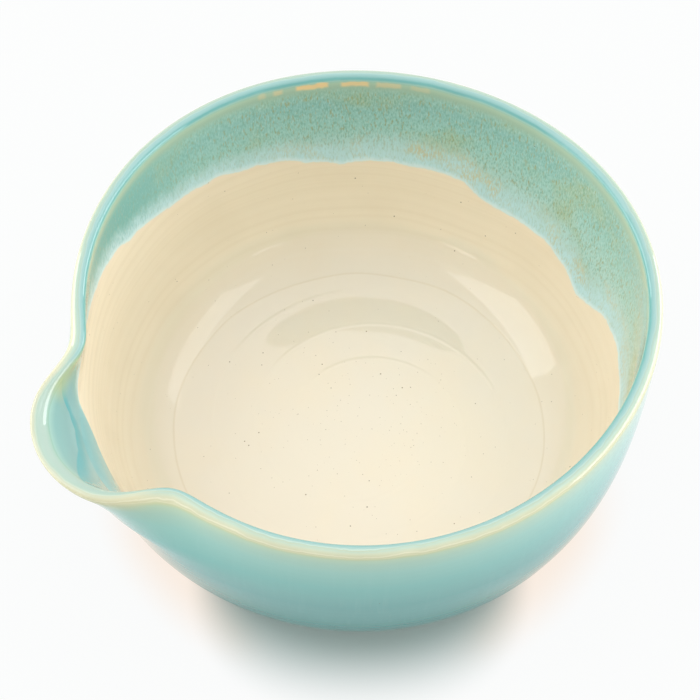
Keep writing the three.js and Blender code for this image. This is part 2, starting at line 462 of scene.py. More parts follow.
class GlazeBench(NodeBench):
    """One material's node tree, with the patterns that a glaze is made of."""

    def __init__(self, name: str) -> None:
        """Opens a new material.

        Args:
            name: Its name.
        """
        self.material = bpy.data.materials.new(name)
        self.material.use_nodes = True
        super().__init__(self.material.node_tree)
        self.shader = self.tree.nodes["Principled BSDF"]
        self.point = self.wire("TexCoord", (), "Object")

    def mark(self, mark: Mark) -> Socket:
        """A measure that the mesh carries."""
        return self.wire("Attribute", (), "Fac", attribute_name=mark.value)

    def in_spout(self) -> Socket:
        """1 in the pulled spout, 0 on the round wall."""
        return self.rise(self.mark(Mark.PULL), *SPOUT_SPAN)

    def mix(self, share: Feed, low: Feed, high: Feed) -> Socket:
        """Mixes a share of a second colour into a first."""
        return self.wire("Mix", {"Factor": share, "A": low, "B": high}, "Result", data_type="RGBA")

    def tint(self, share: Feed, colour: Feed, tone: Rgb) -> Socket:
        """Lays a share of a tone over a colour."""
        return self.mix(share, colour, linear(tone))

    def noise(self, size: float | Sizes, detail: float = 2.0, rough: float = 0.5) -> Socket:
        """Cloudy noise from about 0.2 to 0.8.

        Args:
            size: Size of its patches in millimetres, one for all axes or one for each.
            detail: How many finer layers it has.
            rough: How strong they are.

        Returns:
            The noise.
        """
        point, scale = self.point, 1.0
        if isinstance(size, tuple):
            steps = tuple(1 / (s * MM) for s in size)
            point = self.wire("Mapping", {"Vector": point, "Scale": steps}, "Vector")
        else:
            scale = 1 / (size * MM)
        feeds = {"Vector": point, "Scale": scale, "Detail": detail, "Roughness": rough}
        return self.wire("TexNoise", feeds, "Fac")

    def line_noise(self, value: Feed, size: float, detail: float) -> Socket:
        """Noise along a measure, in steps of a size in millimetres, such as a row of rings."""
        feeds = {"W": value, "Scale": 1 / size, "Detail": detail}
        return self.wire("TexNoise", feeds, "Fac", noise_dimensions="1D")

    def ramp(self, value: Feed, stops: Stops) -> Socket:
        """Colours along a measure.

        Args:
            value: The measure in millimetres.
            stops: Places along it and their tones.

        Returns:
            The colour.
        """
        first, last = stops[0][0], stops[-1][0]
        along = self.wire("MapRange", (value, first, last), "Result")
        colour = self.wire("ValToRGB", (along,), "Color")
        elements = colour.node.color_ramp.elements
        elements.remove(elements[1])
        for place, tone in stops[1:]:
            elements.new((place - first) / (last - first)).color = linear(tone)
        elements[0].position = 0.0
        elements[0].color = linear(stops[0][1])
        return colour

    def specks(self, spacing: float, size: float, share: Feed) -> Socket:
        """Scattered round specks.

        Args:
            spacing: Distance between the places where a speck may sit, in millimetres.
            size: Radius of the largest, in millimetres. The smallest has SMALLEST_SPECK of it.
            share: How many of those places have one.

        Returns:
            1 in a speck, 0 elsewhere.
        """
        cells = self.wire("TexVoronoi", {"Vector": self.point, "Scale": 1 / (spacing * MM)}).node.outputs
        chance = self.wire("SeparateColor", (cells["Color"],)).node.outputs
        there = self.math("LESS_THAN", chance[0], share)
        largest = size / spacing
        radius = ((1 - SMALLEST_SPECK) * largest, SMALLEST_SPECK * largest)
        reach = self.math("DIVIDE", cells["Distance"], self.scaled(chance[1], *radius))
        return self.times(there, self.rise(reach, *SPECK_EDGE))

    def polar(self, axis: tuple[float, float]) -> tuple[Socket, Socket]:
        """Place about the wheel's axis.

        Args:
            axis: Where the axis stands, in millimetres.

        Returns:
            Distance from the axis in millimetres, and the direction in turns.
        """
        parts = self.wire("SeparateXYZ", (self.point,)).node.outputs
        x, y = (self.scaled(part, 1 / MM, -at) for part, at in zip(parts, axis))
        squares = self.scaled(x, x, self.times(y, y))
        turns = self.math("DIVIDE", self.math("ARCTAN2", y, x), 2 * math.pi)
        return self.math("SQRT", squares), turns

    def towards(self, turns: Feed, azimuth: float) -> Socket:
        """Cosine of the angle between a direction in turns and an azimuth in degrees."""
        return self.math("COSINE", self.scaled(turns, 2 * math.pi, -math.radians(azimuth)))

    def look(self, looks: dict[str, Feed]) -> None:
        """Sets inputs of the shader by their names."""
        for name, value in looks.items():
            self.feed(self.shader.inputs[name], value)

    def bump(self, height: Feed) -> None:
        """Raises the surface by a height in millimetres."""
        self.look({"Normal": self.wire("Bump", {"Height": height, "Distance": MM}, "Normal")})


@dataclass(frozen=True)
class Layer:
    """A tone that shows where a noise of a size in millimetres has passed a rise."""

    tone: Rgb
    size: float | Sizes
    rise: Span
    detail: float = 2.0

    def over(self, bench: GlazeBench, colour: Feed, share: Feed = 1.0) -> Socket:
        """Lays a share of the layer over a colour."""
        there = bench.rise(bench.noise(self.size, self.detail), *self.rise)
        return bench.tint(bench.times(there, share), colour, self.tone)


@dataclass(frozen=True)
class IronSpecks:
    """Specks of iron: their tone, the distance between their places and the largest radius in millimetres."""

    tone: Rgb
    spacing: float
    size: float
    strength: float

    def over(self, bench: GlazeBench, colour: Feed, share: Feed) -> Socket:
        """Colour with specks at a share of the places where one may sit."""
        there = bench.times(bench.specks(self.spacing, self.size, share), self.strength)
        return bench.tint(there, colour, self.tone)


@dataclass(frozen=True)
class ThrowingMarks:
    """Marks of the potter's fingers in millimetres: a spiral on the floor and rings up the wall."""

    axis: tuple[float, float]
    pitch: float = 18.0
    starts: float = 2.0
    turn: float = 0.7
    ridge: float = 0.045
    ridge_width: float = 1.3
    groove: float = 0.015
    spiral_zone: tuple[Span, ...] = ((16.0, 34.0), (76.0, 68.0))
    floor_edge: float = 79.0
    floor_edge_width: float = 0.7
    floor_edge_depth: float = 0.03
    floor_edge_drift: float = 5.0
    floor_edge_drift_size: float = 60.0
    dish: Span = (36.0, 52.0, 0.0, 0.25)
    flat: Span = (51.0, 79.0, 0.0, 0.55)
    ring_size: float = 3.4
    ring_depth: float = 0.02
    ring_drift: float = 7.0
    ring_drift_size: float = 70.0
    ring_rise: Span = (0.35, 0.75)
    ring_end: Span = (110.0, 84.0)
    wobble_size: float = 17.0
    wobble_depth: float = 0.04

    def spiral(self, bench: GlazeBench) -> Socket:
        """Thin ridges between the shallow grooves that the fingers drew from the middle outwards.

        Args:
            bench: The material's bench.

        Returns:
            Height in millimetres.
        """
        radius, turns = bench.polar(self.axis)
        phase = bench.scaled(turns, self.starts, self.turn)
        phase = bench.math("FRACT", bench.scaled(radius, 1 / self.pitch, phase))
        flank = bench.math("ABSOLUTE", bench.scaled(phase, 2.0, -1.0))
        thin = bench.rise(flank, 1 - 2 * self.ridge_width / self.pitch, 1.0, 0.0, self.ridge)
        height = bench.scaled(bench.math("POWER", flank, 2.0), self.groove, thin)
        return bench.times(height, bench.within(radius, *self.spiral_zone))

    def floor_line(self, bench: GlazeBench) -> Socket:
        """Line round the floor where the wall begins to rise.

        Args:
            bench: The material's bench.

        Returns:
            1 on the line, 0 away from it.
        """
        radius, _ = bench.polar(self.axis)
        drift = bench.noise(self.floor_edge_drift_size, 1.0)
        drift = bench.scaled(drift, self.floor_edge_drift, -self.floor_edge_drift / 2)
        away = bench.math("SUBTRACT", bench.math("ADD", radius, drift), self.floor_edge)
        return bench.rise(bench.math("ABSOLUTE", away), self.floor_edge_width, 0.0)

    def rings(self, bench: GlazeBench, detail: float) -> Socket:
        """Fine rings round the wall, which end at the floor.

        Args:
            bench: The material's bench.
            detail: How many finer rings lie in them.

        Returns:
            From 0 to about 1.
        """
        lip = bench.mark(Mark.FROM_LIP)
        drift = bench.scaled(bench.noise(self.ring_drift_size, 1.0), self.ring_drift, lip)
        lines = bench.rise(bench.line_noise(drift, self.ring_size, detail), *self.ring_rise)
        return bench.times(lines, bench.rise(lip, *self.ring_end))

    def relief(self, bench: GlazeBench) -> Socket:
        """All the marks, the broad ridge that the fingers left round the floor and the wobble of the glaze.

        Args:
            bench: The material's bench.

        Returns:
            Height in millimetres.
        """
        height = bench.scaled(self.rings(bench, 0.0), self.ring_depth, self.spiral(bench))
        height = bench.scaled(self.floor_line(bench), -self.floor_edge_depth, height)
        radius, _ = bench.polar(self.axis)
        height = bench.math("SUBTRACT", height, bench.rise(radius, *self.flat))
        height = bench.math("ADD", height, bench.rise(radius, *self.dish))
        return bench.scaled(bench.noise(self.wobble_size, 1.0), self.wobble_depth, height)


@dataclass(frozen=True)
class CreamGlaze:
    """Glossy cream liner over a clay with iron in it. Its specks crowd towards the middle of the floor."""

    marks: ThrowingMarks
    name: str = "cream_liner_glaze_finish"
    # The wall tone is lighter than the floor tone: painted light on the walls, fading to the floor's tone
    # lower down.
    wall: Rgb = (253, 237, 211)
    floor: Rgb = (237, 225, 207)
    line: Rgb = (216, 196, 160)
    roughness: float = 0.02
    refraction: float = 1.6
    painted_wall_light_fade: Span = (80.0, 120.0)
    clouds: Layer = Layer((243, 225, 196), 34.0, (0.4, 0.75, 0.0, 0.3), 3.0)
    ring_strength: float = 0.35
    ring_detail: float = 3.0
    line_strength: float = 0.3
    specks: tuple[tuple[IronSpecks, Span], ...] = (
        (IronSpecks((132, 106, 74), 3.7, 0.42, 0.8), (84.0, 30.0, 0.08, 0.3)),
        (IronSpecks((132, 106, 74), 1.5, 0.25, 0.6), (62.0, 18.0, 0.05, 0.42)),
    )

    def colour(self, bench: GlazeBench) -> Socket:
        """Cream painted lighter on the wall than on the floor, as painted light, with soft clouds, throwing
        rings and iron specks.

        Args:
            bench: The material's bench.

        Returns:
            The colour.
        """
        floor_share = bench.rise(bench.mark(Mark.FROM_LIP), *self.painted_wall_light_fade)
        tone = self.clouds.over(bench, bench.tint(floor_share, linear(self.wall), self.floor))
        rings = bench.times(self.marks.rings(bench, self.ring_detail), self.ring_strength)
        tone = bench.tint(rings, tone, self.clouds.tone)
        tone = bench.tint(bench.times(self.marks.floor_line(bench), self.line_strength), tone, self.line)
        radius, _ = bench.polar(self.marks.axis)
        for specks, crowding in self.specks:
            tone = specks.over(bench, tone, bench.rise(radius, *crowding))
        return tone

    def material(self) -> bpy.types.Material:
        """Lays out the liner's nodes.

        Returns:
            The material.
        """
        bench = GlazeBench(self.name)
        bench.look({"Base Color": self.colour(bench), "Roughness": self.roughness, "IOR": self.refraction})
        bench.bump(self.marks.relief(bench))
        return bench.material


@dataclass(frozen=True)
class BrokenLip:
    """Turquoise over the lip: cream where it breaks, painted shade towards the foot and past the fold in the
    spout, a painted highlight inside the crest, tan dashes at the far side.

    Places run in millimetres from the crest of the lip, the outside negative, and directions in degrees.
    """

    axis: tuple[float, float]
    # The outside stops darken from the rim down to the foot: painted shade under the belly.
    round_wall: Stops = (
        (-110.0, (66, 140, 140)), (-75.0, (66, 144, 143)), (-45.0, (86, 162, 159)), (-28.0, (122, 188, 182)),
        (-16.0, (151, 202, 192)), (-9.5, (172, 207, 190)), (-5.6, (190, 213, 186)), (-4.6, (204, 210, 168)),
        (-3.9, (216, 214, 179)), (-2.6, (208, 210, 179)), (-1.6, (188, 204, 182)), (-0.6, (164, 194, 182)),
        # The paler stop at 1.1 mm, between darker ones, is a painted highlight along the inside of the crest.
        (0.5, (141, 182, 178)), (1.1, (151, 191, 187)), (1.5, (141, 184, 180)), (2.2, (132, 184, 180)),
        (2.8, (102, 170, 167)), (3.3, (124, 184, 178)), (3.7, (156, 199, 189)), (4.3, (154, 196, 179)),
        (5.2, (168, 199, 175)), (7.5, (157, 190, 168)), (11.0, (145, 195, 184)), (17.0, (137, 193, 187)),
        (30.0, (152, 206, 198)), (45.0, (172, 216, 208)),
    )
    # The spout's outside stops darken towards the foot in the same way: painted shade.
    spout: Stops = (
        (-110.0, (66, 140, 140)), (-75.0, (66, 144, 143)), (-45.0, (86, 162, 159)), (-16.0, (147, 200, 190)),
        (-9.5, (168, 205, 190)), (-5.6, (200, 210, 176)), (-3.6, (214, 209, 172)), (-1.8, (211, 208, 174)),
        (-0.4, (193, 202, 181)), (0.6, (165, 190, 173)), (1.6, (171, 195, 182)), (3.0, (178, 198, 186)),
        (4.3, (171, 198, 186)), (4.9, (146, 186, 170)), (5.5, (158, 199, 190)), (6.5, (150, 194, 188)),
        (9.0, (132, 181, 180)), (17.0, (128, 178, 180)), (30.0, (142, 200, 206)), (45.0, (152, 204, 206)),
    )
    wander: float = 1.4
    wander_size: float = 14.0
    near_azimuth: float = 237.0
    near: Span = (0.55, 0.97, 0.0, 0.5)
    # The fold tone is painted shade past the fold in the spout's trough: strongest beside the fold, fading
    # down the trough.
    fold: Rgb = (62, 171, 183)
    fold_shade_zone: tuple[Span, ...] = ((0.9, -0.6), (-12.0, -2.5, 0.35, 0.95))
    fold_shade_start: Span = (3.0, 6.0)
    flank: Rgb = (176, 190, 138)
    flank_directions: tuple[Span, ...] = ((158.0, 163.0), (170.5, 167.0))
    flank_places: tuple[Span, ...] = ((1.5, 4.0), (17.0, 6.0, 0.0, 0.75))
    line_size: float = 0.8
    line_bend: float = 3.0
    line_places: tuple[Span, ...] = ((-7.0, -4.5), (1.5, -1.5))
    lines: tuple[tuple[Rgb, Span], ...] = (
        ((240, 237, 212), (0.52, 0.68, 0.0, 0.45)),
        ((196, 188, 136), (0.46, 0.3, 0.0, 0.4)),
    )
    dash: Rgb = (238, 208, 150)
    dashes: tuple[tuple[float, float, float], ...] = (
        (67.6, 4.0, 0.95), (58.1, 3.5, 0.85), (50.6, 3.2, 0.45), (75.3, 1.5, 0.45), (79.0, 1.3, 0.3),
        (43.5, 2.6, 0.25),
    )
    dash_places: tuple[Span, ...] = ((5.2, 6.2), (9.2, 7.6))
    dash_size: float = 5.0
    dash_bend: float = 2.4
    dash_end: float = 0.9

    def colour(self, bench: GlazeBench) -> Socket:
        """Tones from the outside over the lip to the inside, darker towards the foot as painted shade, with
        wider breaks and painted shade past the fold in the spout.

        Args:
            bench: The material's bench.

        Returns:
            The colour.
        """
        lip = bench.mark(Mark.FROM_LIP)
        wander = bench.math("SUBTRACT", bench.noise(self.wander_size, 4.0, 0.6), 0.5)
        place = bench.scaled(wander, self.wander, lip)
        _, turns = bench.polar(self.axis)
        near = bench.rise(bench.towards(turns, self.near_azimuth), *self.near)
        place = bench.math("SUBTRACT", place, near)
        # Painted shade past the fold in the spout.
        beyond = bench.within(bench.mark(Mark.TO_FOLD), *self.fold_shade_zone)
        beyond = bench.times(beyond, bench.rise(lip, *self.fold_shade_start))
        trough = bench.tint(beyond, bench.ramp(place, self.spout), self.fold)
        tone = bench.mix(bench.in_spout(), bench.ramp(place, self.round_wall), trough)
        bent = bench.within(bench.times(turns, 360.0), *self.flank_directions)
        tone = bench.tint(bench.times(bent, bench.within(place, *self.flank_places)), tone, self.flank)
        bent_lip = bench.scaled(wander, self.line_bend, lip)
        lines = bench.line_noise(bent_lip, self.line_size, 1.0)
        zone = bench.within(place, *self.line_places)
        for line, rise in self.lines:
            tone = bench.tint(bench.times(bench.rise(lines, *rise), zone), tone, line)
        return tone

    def dashed(self, bench: GlazeBench, colour: Feed) -> Socket:
        """Tan dashes just below the far lip, where the glaze is thin.

        Args:
            bench: The material's bench.
            colour: The glaze without them.

        Returns:
            The colour with them.
        """
        _, turns = bench.polar(self.axis)
        azimuth = bench.times(turns, 360.0)
        bend = bench.noise(self.dash_size)
        lip = bench.scaled(bend, self.dash_bend, bench.mark(Mark.FROM_LIP))
        row = bench.within(lip, *self.dash_places)
        for middle, half, strength in self.dashes:
            away = bench.math("ABSOLUTE", bench.math("SUBTRACT", azimuth, middle))
            there = bench.rise(away, half, half - self.dash_end, 0.0, strength)
            colour = bench.tint(bench.times(there, row), colour, self.dash)
        return colour


@dataclass(frozen=True)
class MottledRun:
    """Patches, flecks and streaks in the run down the inside, most on one side, and faint outer drips."""

    axis: tuple[float, float]
    azimuth: float = 10.0
    side: Span = (-0.7, 0.6, 0.2, 1.0)
    start: Span = (6.0, 13.0)
    cool: Rgb = (90, 170, 166)
    cool_side: Span = (0.15, -0.5, 0.0, 0.85)
    cool_start: Span = (5.5, 11.0)
    flecks: tuple[Layer, ...] = (
        Layer((166, 190, 146), 26.0, (0.5, 0.7, 0.0, 0.6)),
        Layer((102, 158, 134), (0.6, 0.6, 1.8), (0.52, 0.3, 0.0, 0.5), 4.0),
        Layer((188, 226, 224), (0.6, 0.6, 1.8), (0.5, 0.74, 0.0, 0.4), 4.0),
    )
    streaks: Layer = Layer((152, 162, 112), (0.9, 0.9, 3.2), (0.53, 0.7, 0.0, 0.65))
    streak_side: Span = (-0.4, 0.4, 0.35, 1.0)
    drips: Layer = Layer((188, 226, 224), (2.4, 2.4, 45.0), (0.5, 0.75), 3.0)
    drip_start: Span = (-5.0, -10.0, 0.0, 0.03)

    def over(self, bench: GlazeBench, colour: Feed) -> Socket:
        """Lays the mottle over the plain glaze.

        Args:
            bench: The material's bench.
            colour: The plain colour.

        Returns:
            The mottled colour.
        """
        lip = bench.mark(Mark.FROM_LIP)
        _, turns = bench.polar(self.axis)
        side = bench.towards(turns, self.azimuth)
        calm = bench.math("SUBTRACT", 1.0, bench.in_spout())
        below = bench.times(bench.rise(lip, *self.start), calm)
        shaded = bench.times(bench.rise(side, *self.cool_side), bench.rise(lip, *self.cool_start), calm)
        tone = bench.tint(shaded, colour, self.cool)
        strength = bench.times(below, bench.rise(side, *self.side))
        for layer in self.flecks:
            tone = layer.over(bench, tone, strength)
        tone = self.streaks.over(bench, tone, bench.times(below, bench.rise(side, *self.streak_side)))
        return self.drips.over(bench, tone, bench.rise(lip, *self.drip_start))


@dataclass(frozen=True)
class FrostedEdge:
    """Frost, rust and froth along the ragged edge of the run, wider on one side, and the liner below it."""

    cream: CreamGlaze
    azimuth: float = 10.0
    side: Span = (0.1, 0.9)
    widening: float = 0.42
    spout_calm: float = 0.85
    ragged_size: Sizes = (2.2, 2.2, 5.0)
    ragged: float = 8.0
    streak_size: Sizes = (0.7, 0.7, 2.6)
    frost: Rgb = (197, 235, 241)
    frost_reach: Span = (14.0, 2.0, 0.0, 0.9)
    frost_streaks: Span = (0.3, 0.6, 0.58, 1.0)
    rust: Layer = Layer((208, 202, 158), 15.0, (0.44, 0.7, 0.0, 0.75))
    rust_reach: Span = (13.0, 6.0)
    rust_streaks: Span = (0.62, 0.4)
    froth: Rgb = (222, 246, 249)
    froth_bend: float = 3.0
    froth_reach: Span = (3.6, 0.6, 0.0, 0.9)
    edge_size: float = 4.2
    edge_bend: float = 2.6
    spout_edge_bend: float = 1.0
    bare: Span = (0.9, -0.2)

    def over(self, bench: GlazeBench, colour: Feed) -> Socket:
        """Lays the edge over the glaze.

        Args:
            bench: The material's bench.
            colour: The glaze above the edge.

        Returns:
            The colour down to the liner.
        """
        edge, spout = bench.mark(Mark.TO_EDGE), bench.in_spout()
        calm = bench.scaled(spout, -self.spout_calm, 1.0)
        _, turns = bench.polar(self.cream.marks.axis)
        side = bench.rise(bench.towards(turns, self.azimuth), *self.side)
        ragged = bench.math("SUBTRACT", bench.noise(self.ragged_size, 3.0), 0.5)
        reach = bench.scaled(ragged, self.ragged, edge)
        reach = bench.times(reach, bench.scaled(side, -self.widening, 1.0))
        streaks = bench.noise(self.streak_size, 3.0)
        frost = bench.times(bench.rise(reach, *self.frost_reach), calm)
        frost = bench.times(frost, bench.rise(streaks, *self.frost_streaks))
        rusty = bench.times(side, bench.rise(reach, *self.rust_reach))
        rusty = bench.times(rusty, bench.rise(streaks, *self.rust_streaks))
        tone = self.rust.over(bench, bench.tint(frost, colour, self.frost), rusty)
        foam = bench.rise(bench.scaled(ragged, self.froth_bend, edge), *self.froth_reach)
        tone = bench.tint(bench.times(foam, calm), tone, self.froth)
        fine = bench.math("SUBTRACT", bench.noise(self.edge_size, 3.0), 0.5)
        bend = bench.scaled(spout, self.spout_edge_bend - self.edge_bend, self.edge_bend)
        bare = bench.rise(bench.scaled(fine, bend, edge), *self.bare)
        return bench.mix(bare, tone, self.cream.colour(bench))


@dataclass(frozen=True)
class TurquoiseGlaze:
    """Turquoise coat that breaks cream over the lip, runs down the inside and frosts at its edge."""

    cream: CreamGlaze
    name: str = "turquoise_glaze_finish"
    roughness: float = 0.05
    refraction: float = 1.6
    specks: IronSpecks = IronSpecks((84, 92, 72), 5.0, 0.5, 0.8)
    speck_share: float = 0.06

    def material(self) -> bpy.types.Material:
        """Lays out the coat's nodes.

        Returns:
            The material.
        """
        bench = GlazeBench(self.name)
        marks = self.cream.marks
        lip = BrokenLip(marks.axis)
        tone = lip.dashed(bench, MottledRun(marks.axis).over(bench, lip.colour(bench)))
        tone = FrostedEdge(self.cream).over(bench, self.specks.over(bench, tone, self.speck_share))
        bench.look({"Base Color": tone, "Roughness": self.roughness, "IOR": self.refraction})
        bench.bump(marks.relief(bench))
        return bench.material


@dataclass(frozen=True)
class BareClay:
    """Unglazed warm stoneware with clouds, sand and iron specks."""

    name: str = "bare_stoneware_finish"
    pale: Rgb = (217, 176, 142)
    roughness: float = 0.78
    clouds: Layer = Layer((198, 146, 108), 22.0, (0.35, 0.7), 4.0)
    sand: Layer = Layer((198, 146, 108), 0.9, (0.5, 0.75, 0.0, 0.35), 3.0)
    sand_height: float = 0.12
    specks: IronSpecks = IronSpecks((96, 66, 46), 2.6, 0.45, 0.85)
    speck_share: float = 0.2

    def material(self) -> bpy.types.Material:
        """Lays out the clay's nodes.

        Returns:
            The material.
        """
        bench = GlazeBench(self.name)
        tone = self.sand.over(bench, self.clouds.over(bench, linear(self.pale)))
        tone = self.specks.over(bench, tone, self.speck_share)
        bench.look({"Base Color": tone, "Roughness": self.roughness})
        bench.bump(bench.times(bench.noise(self.sand.size, self.sand.detail), self.sand_height))
        return bench.material


@dataclass
class ThrownPiece:
    """A piece turned on the wheel: its profile is drawn, spun about the axis and pulled to the bowl's form.

    The seam of the two glazes lies by the overlap below the edge of the turquoise.
    """

    form: BowlForm
    name: str
    node: str
    slot: Slot
    around: int
    crowding: float = 0.5
    smooth_angle: float = 40.0
    overlap: float = 2.5

    def stations(self) -> np.ndarray:
        """Distances from the crest of the lip at which the profile has a point."""
        raise NotImplementedError

    def sink(self, station: np.ndarray) -> np.ndarray:
        """Depth of the piece's surface below the plain finished surface."""
        return np.zeros_like(station)

    def draw_profile(self) -> Piece:
        """Draws the half section of the piece as a chain of extruded points.

        Returns:
            The new object.
        """
        stations = self.stations()
        section = self.form.section
        rows = [section.at(stations, row) for row in (section.radius, section.z)]
        outline = np.stack(rows, axis=-1) * MM
        bpy.ops.object.select_all(action="DESELECT")
        bpy.ops.mesh.primitive_plane_add(size=MM)
        piece = bpy.context.object
        piece.name = piece.data.name = self.name
        bpy.ops.object.mode_set(mode="EDIT")
        bpy.ops.mesh.merge(type="CENTER")
        bpy.ops.transform.translate(value=(outline[0][0], 0.0, outline[0][1]))
        for radial, upward in np.diff(outline, axis=0):
            bpy.ops.mesh.extrude_vertices_move(TRANSFORM_OT_translate={"value": (radial, 0.0, upward)})
        bpy.ops.object.mode_set(mode="OBJECT")
        drawn = np.array([(v.co.x, v.co.z) for v in piece.data.vertices])
        nearest = np.linalg.norm(drawn[:, None] - outline[None], axis=-1).argmin(axis=1)
        self.write(piece, Mark.STATION, stations[nearest])
        return piece

    def write(self, piece: Piece, mark: Mark, values: np.ndarray) -> None:
        """Stores a measure on the points of a piece."""
        layer = piece.data.attributes.get(mark.value)
        layer = layer or piece.data.attributes.new(mark.value, "FLOAT", "POINT")
        layer.data.foreach_set("value", np.asarray(values, np.float32))

    def read(self, piece: Piece, mark: Mark) -> np.ndarray:
        """Measure stored on the points of a piece."""
        values = np.zeros(len(piece.data.vertices), np.float32)
        piece.data.attributes[mark.value].data.foreach_get("value", values)
        return values.astype(float)

    def spin(self, piece: Piece) -> None:
        """Turns the profile once round the wheel's axis and closes the seam."""
        bpy.ops.object.mode_set(mode="EDIT")
        bpy.ops.mesh.select_all(action="SELECT")
        bpy.ops.mesh.spin(steps=self.around, angle=2 * math.pi, center=(0, 0, 0), axis=(0, 0, 1))
        bpy.ops.mesh.select_all(action="SELECT")
        bpy.ops.mesh.remove_doubles(threshold=SEAM_GAP)
        bpy.ops.mesh.normals_make_consistent(inside=False)
        bpy.ops.object.mode_set(mode="OBJECT")

    def azimuths(self, piece: Piece) -> np.ndarray:
        """Direction of each point from the axis, with the rows closer together around the spout.

        Args:
            piece: The spun piece.

        Returns:
            Azimuths in degrees.
        """
        spots = np.zeros(len(piece.data.vertices) * 3, np.float32)
        piece.data.vertices.foreach_get("co", spots)
        x, y, _ = spots.reshape(-1, 3).astype(float).T
        away = np.radians(self.form.from_spout(np.degrees(np.arctan2(y, x))))
        return self.form.spout_azimuth + np.degrees(away - self.crowding * np.sin(away))

    def pull(self, piece: Piece) -> None:
        """Moves each point of the plain round piece to its place on the pulled bowl."""
        azimuth = self.azimuths(piece)
        station = self.read(piece, Mark.STATION)
        from_lip = self.form.settle(station, azimuth, self.overlap)
        spots = self.form.pulled(from_lip, azimuth, self.sink(station))
        piece.data.vertices.foreach_set("co", (spots * MM).astype(np.float32).ravel())
        self.write(piece, Mark.FROM_LIP, from_lip)
        self.write(piece, Mark.TO_EDGE, self.form.edge(azimuth) - from_lip)
        rim = np.zeros_like(azimuth)
        self.write(piece, Mark.PULL, self.form.spout_share(azimuth, rim, rim))
        self.write(piece, Mark.TO_FOLD, self.form.fold_line(azimuth) - from_lip)
        piece.data.attributes.remove(piece.data.attributes[Mark.STATION.value])
        piece.data.update()
        self.face_outwards(piece, from_lip, azimuth)

    def face_outwards(self, piece: Piece, from_lip: np.ndarray, azimuth: np.ndarray) -> None:
        """Turns the faces round if they point into the clay.

        Args:
            piece: The pulled piece.
            from_lip: Distance of each point from the crest of the lip.
            azimuth: Direction of each point from the axis.
        """
        face = piece.data.polygons[len(piece.data.polygons) // 2]
        corner = face.vertices[0]
        facing_r, facing_z = self.form.section.facing(from_lip[corner : corner + 1])
        turn = math.radians(azimuth[corner])
        outwards = Vector((facing_r[0] * math.cos(turn), facing_r[0] * math.sin(turn), facing_z[0]))
        if face.normal.dot(outwards) < 0:
            bpy.ops.object.mode_set(mode="EDIT")
            bpy.ops.mesh.select_all(action="SELECT")
            bpy.ops.mesh.flip_normals()
            bpy.ops.object.mode_set(mode="OBJECT")

    def finish_mesh(self, piece: Piece) -> None:
        """Gives the piece its wall, where it has one."""

    def build(self, finish: bpy.types.Material) -> Piece:
        """Makes the piece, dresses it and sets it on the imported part.

        Args:
            finish: The piece's material.

        Returns:
            The finished piece.
        """
        piece = self.draw_profile()
        self.spin(piece)
        self.pull(piece)
        self.finish_mesh(piece)
        bpy.ops.object.shade_smooth_by_angle(angle=math.radians(self.smooth_angle))
        piece.data.materials.clear()
        piece.data.materials.append(finish)
        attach(piece, BODY)
        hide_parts(self.node)
        LOG.info("%s: %d faces for %s", piece.name, len(piece.data.polygons), self.node)
        return piece


@dataclass
class GlazeCoat(ThrownPiece):
    """A fired coat of glaze: a thin closed shell on the clay, which dips under its neighbour at the seam."""

    thickness: float = 0.5
    skin: float = 0.2
    tuck: float = 2.4
    tuck_depth: float = 0.06
    tuck_steps: int = 4

    def past_seam(self, station: np.ndarray) -> np.ndarray:
        """Distance beyond the seam, on the neighbour's side."""
        raise NotImplementedError

    def sink(self, station: np.ndarray) -> np.ndarray:
        """Depth that keeps the coat within the solids, and more where it dips under its neighbour."""
        return self.skin + self.tuck_depth * np.clip(self.past_seam(station) / self.tuck, 0, 1) ** 2

    def finish_mesh(self, piece: Piece) -> None:
        """Gives the coat its thickness, towards the clay."""
        bpy.ops.object.modifier_add(type="SOLIDIFY")
        wall = piece.modifiers[-1]
        wall.thickness = self.thickness * MM
        wall.offset = -1.0
        bpy.ops.object.modifier_apply(modifier=wall.name)


@dataclass
class TurquoiseCoat(GlazeCoat):
    """Coat over the outside and the lip, and down the inside to its ragged edge."""

    bare_band: float = 36.0
    wall_step: float = 3.0
    lip_step: float = 0.55
    lip_margin: float = 1.0
    run_steps: int = 34

    def stations(self) -> np.ndarray:
        """Stations from the bare clay up the outside, over the lip and down to the drawn edge."""
        start = self.form.section.belly_end + self.bare_band
        crown = self.form.half_lip + self.lip_margin
        beside = crown + self.lip_margin
        wall = np.linspace(start, -beside, round((-beside - start) / self.wall_step))
        lip = np.linspace(-crown, crown, round(2 * crown / self.lip_step))
        run = np.linspace(beside, self.form.drawn_edge, self.run_steps)
        tucked = np.linspace(self.form.drawn_edge, self.form.drawn_edge + self.tuck, self.tuck_steps + 1)
        return np.concatenate([wall, lip, run, tucked[1:]])

    def past_seam(self, station: np.ndarray) -> np.ndarray:
        """Distance below the seam."""
        return station - self.form.drawn_edge


@dataclass
class CreamLiner(GlazeCoat):
    """Liner from the edge of the turquoise down the wall and over the floor."""

    step: float = 1.5

    def stations(self) -> np.ndarray:
        """Stations from the drawn edge to the middle of the floor."""
        length = self.form.floor_middle - self.form.drawn_edge
        tucked = np.linspace(self.form.drawn_edge - self.tuck, self.form.drawn_edge, self.tuck_steps + 1)
        liner = np.linspace(self.form.drawn_edge, self.form.floor_middle, round(length / self.step))
        return np.concatenate([tucked[:-1], liner])

    def past_seam(self, station: np.ndarray) -> np.ndarray:
        """Distance above the seam."""
        return self.form.drawn_edge - station


